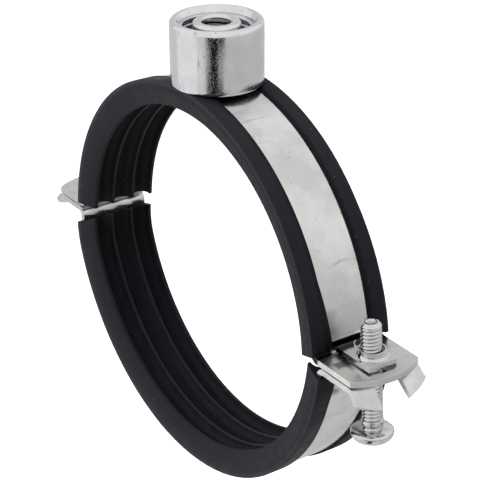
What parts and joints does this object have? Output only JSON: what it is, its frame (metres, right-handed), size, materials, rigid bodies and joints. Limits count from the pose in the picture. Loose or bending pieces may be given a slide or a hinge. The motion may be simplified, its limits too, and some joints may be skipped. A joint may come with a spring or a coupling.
{
  "type": "rubber lined pipe clamp",
  "caption": "Two-piece steel pipe clamp with a ribbed rubber lining, slotted ears closed by screws in plate nuts, and a threaded rod socket on top.",
  "frame": {"origin": "centre of the upper half ring, on the pipe's axis and midway across the strip", "axes": "+Y along the pipe, +Z towards the rod socket, +X towards the closure with the swinging screw"},
  "size_m": [0.1668, 0.0268, 0.1389],
  "materials": {
    "band_steel": "bright zinc plated strip, lightly scuffed",
    "socket_steel": "bright zinc plated, turned",
    "fastener_steel": "bright zinc plated",
    "rubber": "matte black extruded rubber"
  },
  "bodies": {
    "upper_half": {"upper_band": "band_steel", "upper_lining": "rubber", "rod_socket": "socket_steel", "left_nut": "fastener_steel"},
    "lower_half": {"lower_band": "band_steel", "lower_lining": "rubber"},
    "right_nut": {"right_nut": "fastener_steel"},
    "right_screw": {"right_screw": "fastener_steel"},
    "left_screw": {"left_screw": "fastener_steel"}
  },
  "joints": [
    {"name": "lower_half_swing", "type": "hinge", "parent": "upper_half", "child": "lower_half", "pos_m": [-0.0762, 0, 0.0029], "axis": [0, 1, 0], "range_deg": [0, 4.4]},
    {"name": "right_screw_swing", "type": "hinge", "parent": "upper_half", "child": "right_nut", "pos_m": [0.0634, 0, 0.0068], "axis": [0, -1, 0], "range_deg": [0, 24]},
    {"name": "right_screw_travel", "type": "slide", "parent": "right_nut", "child": "right_screw", "axis": [-0.0523, 0, 0.9986], "range_m": [-0.009, 0]},
    {"name": "left_screw_travel", "type": "slide", "parent": "upper_half", "child": "left_screw", "axis": [0.0523, 0, 0.9986], "range_m": [-0.009, 0.013]}
  ],
  "couplings": [
    {"joint": "right_screw_travel", "follows": "lower_half_swing", "m_per_rad": -0.117}
  ]
}
